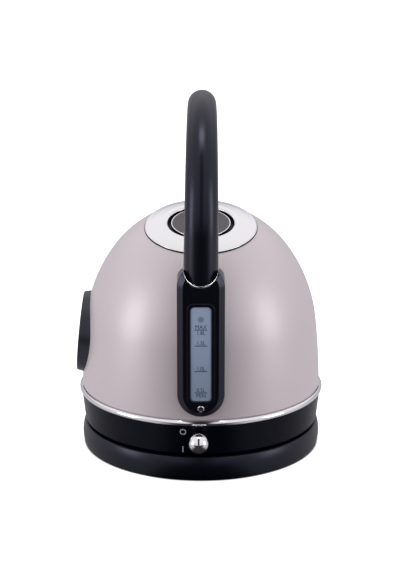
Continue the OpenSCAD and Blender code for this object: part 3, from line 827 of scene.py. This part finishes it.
def make_gauge_screw():
    """Low domed head with a lobed recess below the window."""
    place = axis_place(Vector((0, FACE_Y, (screw_low.z + screw_high.z) / 2)), (0, -1, 0))
    r = 2.55 * MM
    head = rounded([(0, -0.9 * MM, 0), (r, -0.9 * MM, 0), (r, 0.2 * MM, 0.35 * MM),
                    (1.7 * MM, 0.5 * MM, 0.5 * MM), (0, 0.5 * MM, 0)])
    screw = piece("gauge_screw", *lathe(head, place, 48))
    cut(screw, [star(1.45 * MM, 2 * MM, place @ Matrix.Translation((0, 0, -0.5 * MM)))])
    shade(screw, 35)
    post = place @ Matrix.Translation((0, 0, -0.5 * MM))
    piece("screw_socket", *star(1.4 * MM, 0.25 * MM, post), "kettle", "dark_plastic")
    piece("screw_post", *bar(post, 0.42 * MM, 0, 0.85 * MM, 24), "kettle", "steel")
    return adopt(screw, "kettle", "chrome", ["gauge_screws"])


# ---------------------------------------------------------------- dial


def make_bezel():
    """Dial housing: a cone scribed to the body, with a rounded front edge."""
    outline = rounded([(0, -18 * MM, 0), (DIAL_R + 3.6 * MM, -18 * MM, 0), (DIAL_R, 0, 0.9 * MM),
                       (DIAL_R - 1.8 * MM, 0, 0.4 * MM), (DIAL_R - 2 * MM, -0.6 * MM, 0.2 * MM),
                       (DIAL_R - 2 * MM, -2.9 * MM, 0), (0, -2.9 * MM, 0)])
    bezel = piece("dial_housing", *lathe(outline, DIAL_PLACE, 160))
    cut(bezel, [lathe([(0, 30 * MM)] + dome_outline(0, 30 * MM), turns=160)])
    shade(bezel, 30)
    return adopt(bezel, "kettle", "dial_black", ["dial_bezel"])


def make_dial_words():
    """Temperatures round the dial, and the unit under its centre."""
    face = DIAL_PLACE @ Matrix.Translation((0, 0, DIAL_FACE)) @ Matrix.Rotation(-pi / 2, 4, "Z")
    rows = []
    for i in range(6):
        a = radians(135 - 54 * i) + pi / 2
        rows.append((str(20 * i), 18.3 * MM * cos(a), 18.3 * MM * sin(a) - 1.5 * MM, 4.4 * MM, 0.9))
    rows.append(("°C", 0, -13 * MM, 5 * MM, 0.9))
    return lettering("dial_words", rows, face, "mark_dark")


def make_dial_ring():
    """Fine printed circles that frame the scale."""
    low, high = DIAL_FACE, DIAL_FACE + 0.08 * MM
    for name, r in (("dial_circle", 28.9), ("dial_inner_circle", 13.2)):
        outline = [(r * MM, low), (r * MM, high), ((r - 0.3) * MM, high), ((r - 0.3) * MM, low)]
        piece(name, *ring_lathe(outline, DIAL_PLACE, 128), "kettle", "mark_dark")


def make_needle():
    """Tapered pointer with a counterweight, a domed hub and its spindle."""
    place = DIAL_PLACE @ Matrix.Rotation(radians(81), 4, "Z")
    outline = [(-7, 0.9), (-7.4, 0), (-7, -0.9), (-1.5, -0.6), (1.5, -0.7), (23.0, -0.18), (23.2, 0),
               (23.0, 0.18), (1.5, 0.7), (-1.5, 0.6)]
    rings = []
    for inset, height in ((1.0, -2.0), (1.0, -1.7), (0.6, -1.6)):
        rings.append([place @ (Vector((x, y * inset, height)) * MM) for x, y in outline])
    pointer = piece("pointer", *loft(rings, (True, True)), "needle", "needle_red", ["dial_needle"])
    hub = rounded([(0, -2.0, 0), (2.0, -2.0, 0), (2.0, -1.55, 0.3), (1.0, -1.42, 0.5), (0, -1.4, 0)])
    piece("pointer_hub", *lathe([p * MM for p in hub], place, 48), "needle", "needle_red")
    piece("pointer_pin", *bar(place, 0.6 * MM, -11 * MM, -1.9 * MM, 24), "needle", "needle_red")
    return pointer


# ---------------------------------------------------------------- switch


def make_ball():
    """Polished ball on the end of the switch's lever."""
    outline = arc((0, 0), BALL_R, -pi / 2, pi / 2, 48)
    outline[0].x = outline[-1].x = 0
    place = axis_place(BALL, (0, -1, 0))
    return piece("lever_ball", *lathe(outline, place, 96), "switch", "chrome", ["switch_ball"])


def make_ferrule():
    """Small collar where the lever meets the ball."""
    place = axis_place(Vector((BALL.x, -100.6 * MM, 35.6 * MM)), (0, -1, 0))
    outline = rounded([(2.62, -0.8, 0), (3.3, -0.8, 0.25), (3.3, 0.9, 0.25), (2.62, 0.9, 0)])
    mesh = ring_lathe([p * MM for p in outline], place, 64)
    return piece("lever_ferrule", *mesh, "switch", "chrome")


# ---------------------------------------------------------------- lid


def lid_outline(corners):
    """Rounded outline from corners whose height is counted from the knob's seat."""
    return rounded([(x * MM, KNOB_Z + z * MM, d * MM) for x, z, d in corners])


def make_lid_ring():
    """Polished lid plate: a shallow cone, a level inner band and a rolled outer edge."""
    edge, lip = LID_R / MM, RECESS_R / MM
    outline = lid_outline([(edge - 1, 0.5, 0), (edge - 0.2, 0.5, 0.1), (edge, 0.9, 0.3),
                           (edge - 1, 1.7, 0.9), (38.5, 3.05, 6), (lip + 6, 4.1, 0.9),
                           (lip + 1, 4.4, 0.6), (lip, 3.8, 0.4), (lip, 0.1, 0), (lip + 0.8, 0.1, 0),
                           (lip + 0.8, 3.1, 0), (38.0, 2.1, 0), (edge - 1, 0.8, 0)])
    return piece("lid_plate", *ring_lathe(outline, LID_PLACE, FINE), "lid", "chrome", ["lid_ring"])


def make_lid_shadow_lip():
    """Thin dark rubber strip between the lid plate's edge and the body, put there as painted shade: the shadow
    line under the plate's edge.
    """
    edge = LID_R / MM
    outline = lid_outline([(edge - 0.8, 0.5, 0), (edge + 0.2, 0.4, 0.1), (edge + 0.25, -0.3, 0.1),
                           (edge - 0.8, 0, 0)])
    return piece("lid_shadow_lip", *ring_lathe(outline, LID_PLACE, FINE), "lid", "rubber")


def make_recess():
    """Dark lining of the round recess that the knob stands in."""
    lip = RECESS_R / MM
    outline = lid_outline([(lip - 0.8, 0.05, 0), (lip - 0.8, 0.4, 0.3), (lip - 0.25, 3.5, 0.3),
                           (lip - 0.05, 3.5, 0), (lip - 0.05, 0.05, 0)])
    return piece("recess_lining", *ring_lathe(outline, LID_PLACE, 160), "lid", "gloss_black")


def make_knob():
    """Thin bright rim round a shallow dished grey pad."""
    rim = KNOB_R / MM
    outline = lid_outline([(rim - 0.9, 0, 0), (rim, 0, 0), (rim, 3.9, 0.35), (rim - 0.9, 3.9, 0.3),
                           (rim - 0.9, 3, 0)])
    piece("knob_edge", *ring_lathe(outline, LID_PLACE, 160), "lid", "chrome", ["knob_rim"])
    dish, edge = 250 * MM, KNOB_R - MM
    spread = asin(edge / dish)
    slopes = [spread * (1 - i / 12) for i in range(13)]
    top = [Vector((dish * sin(a), KNOB_Z + 3 * MM + dish * (1 - cos(a)))) for a in slopes]
    pad = [Vector((0, KNOB_Z + 2 * MM)), Vector((edge, KNOB_Z + 2 * MM))] + top
    piece("knob_pad", *lathe(pad, LID_PLACE, 160), "lid", "knob_grey", ["knob_cap"])


make_shell()
make_spout()
make_trim_ring()
make_collar()
make_slot_lip()
make_base()
make_gland()
make_grip()
make_grip_ring()
make_grip_end()
make_bracket()
make_frame()
make_window()
make_gauge_words()
make_gauge_screw()
make_bezel()
make_dial_words()
make_dial_ring()
make_needle()
make_ball()
make_ferrule()
make_lid_ring()
make_lid_shadow_lip()
make_recess()
make_knob()

# ---------------------------------------------------------------- studio


def floor_finish():
    """Pale seamless floor: white to the camera, with a dark card in front and a contact shadow."""
    mat = surface("floor", (0.62, 0.61, 0.63), 0.6, 0.0, 0.01, 0.02, 6)
    setting(mat, Specular_IOR_Level=0.0, Emission_Color=(1, 1, 1, 1))
    tree = mat.node_tree
    shader = tree.nodes["Principled BSDF"]
    spot = tree.nodes["where"].outputs["Object"]
    away = add(tree, "VectorMath", {0: spot}, operation="LENGTH").outputs["Value"]
    level = add(tree, "VectorMath", {0: spot}, operation="NORMALIZE")
    front = add(tree, "SeparateXYZ", {0: level.outputs[0]}).outputs["Y"]
    narrower = ramp(tree, away, 0.18, 0.45, 0.0, 0.2)
    side = add(tree, "Math", {0: front, 1: narrower}, operation="SUBTRACT")
    card = ramp(tree, side.outputs[0], -0.98, -0.86, 0.06, 1.0)
    dimmed = add(tree, "VectorMath", {0: tree.nodes["tone"].outputs[2], "Scale": card},
                 operation="SCALE")
    tree.links.new(dimmed.outputs[0], shader.inputs["Base Color"])
    seen = add(tree, "LightPath").outputs["Is Camera Ray"]
    clear = ramp(tree, away, BASE_R - 1.6 * MM, BASE_R + 0.4 * MM, 0.0, 1.0)
    glow = add(tree, "Math", {0: seen, 1: clear}, operation="MULTIPLY")
    tree.links.new(glow.outputs[0], shader.inputs["Emission Strength"])
    return mat


def make_floor():
    """A broad round floor under the base."""
    mesh = bpy.data.meshes.new("floor")
    verts, faces = lathe([(0, 0), (0.4, 0), (1.2, 0), (9, 0)], turns=64)
    mesh.from_pydata([tuple(v) for v in verts], [], faces)
    floor = bpy.data.objects.new("floor", mesh)
    mesh.materials.append(floor_finish())
    bpy.context.scene.collection.objects.link(floor)


def soft_box(name, place, target, width, height, power, colour=(1, 1, 1)):
    """Rectangular lamp aimed at a point."""
    data = bpy.data.lights.new(name, "AREA")
    data.shape = "RECTANGLE"
    data.size, data.size_y = width, height
    data.energy = power
    data.color = colour
    lamp = bpy.data.objects.new(name, data)
    lamp.location = place
    lamp.rotation_euler = (Vector(target) - Vector(place)).to_track_quat("-Z", "Y").to_euler()
    bpy.context.scene.collection.objects.link(lamp)
    return lamp


def make_sky():
    """White room, dimmer at the horizon, with a dark gap between its two halves behind the camera."""
    world = bpy.data.worlds.new("studio")
    bpy.context.scene.world = world
    world.use_nodes = True
    tree = world.node_tree
    split = add(tree, "SeparateXYZ", {0: add(tree, "TexCoord").outputs["Generated"]})
    height = split.outputs["Z"]
    aside = add(tree, "Math", {0: split.outputs["X"]}, operation="ABSOLUTE")
    gap = ramp(tree, aside.outputs[0], 0.09, 0.24, 0.03, 1.0)
    behind = ramp(tree, split.outputs["Y"], -0.35, 0.0, 0.0, 1.0)
    band = add(tree, "Math", {0: gap, 1: behind}, operation="MAXIMUM")
    near_lift = ramp(tree, height, 0.12, 0.6, 0.7, 0.86)
    far_lift = ramp(tree, height, 0.2, 0.6, 0.47, 0.93)
    lift = ramp(tree, split.outputs["Y"], 0.1, 0.6, near_lift, far_lift)
    light = add(tree, "Math", {0: band.outputs[0], 1: lift}, operation="MULTIPLY")
    blue = ramp(tree, height, 0.1, 0.7, 1.06, 0.99)
    cool = add(tree, "CombineXYZ", {"X": 0.98, "Y": 0.975, "Z": blue})
    tint = add(tree, "VectorMath", {0: cool.outputs[0], "Scale": light.outputs[0]}, operation="SCALE")
    seen = add(tree, "LightPath").outputs["Is Camera Ray"]
    pick = add(tree, "Mix", {0: seen, 6: tint.outputs[0], 7: (1, 1, 1, 1)}, data_type="RGBA")
    tree.links.new(pick.outputs[2], tree.nodes["Background"].inputs["Color"])


def make_camera():
    """A long lens in front, looking down a little at the middle of the kettle."""
    data = bpy.data.cameras.new("camera")
    data.lens = 94.74
    data.sensor_width = 36
    data.shift_x = -0.00158
    data.clip_start = 0.01
    camera = bpy.data.objects.new("camera", data)
    rise, distance = radians(15.39), 1.2225
    aim = Vector((0, 0, 0.1309))
    camera.location = aim + distance * Vector((0, -cos(rise), sin(rise)))
    camera.rotation_euler = (pi / 2 - rise, 0, 0)
    bpy.context.scene.collection.objects.link(camera)
    bpy.context.scene.camera = camera


make_floor()
make_sky()
make_camera()
middle, upper = (0, 0, 0.13), (0, 0, 0.15)
soft_box("left_box", (-1.05, -0.42, 0.3), middle, 0.4, 0.6, 2.6)
soft_box("right_box", (1.05, -0.42, 0.3), middle, 0.4, 0.6, 2.2)
soft_box("top_box", (0, -0.14, 1.3), upper, 0.5, 0.3, 2.4)
bpy.context.scene.view_settings.view_transform = "Standard"
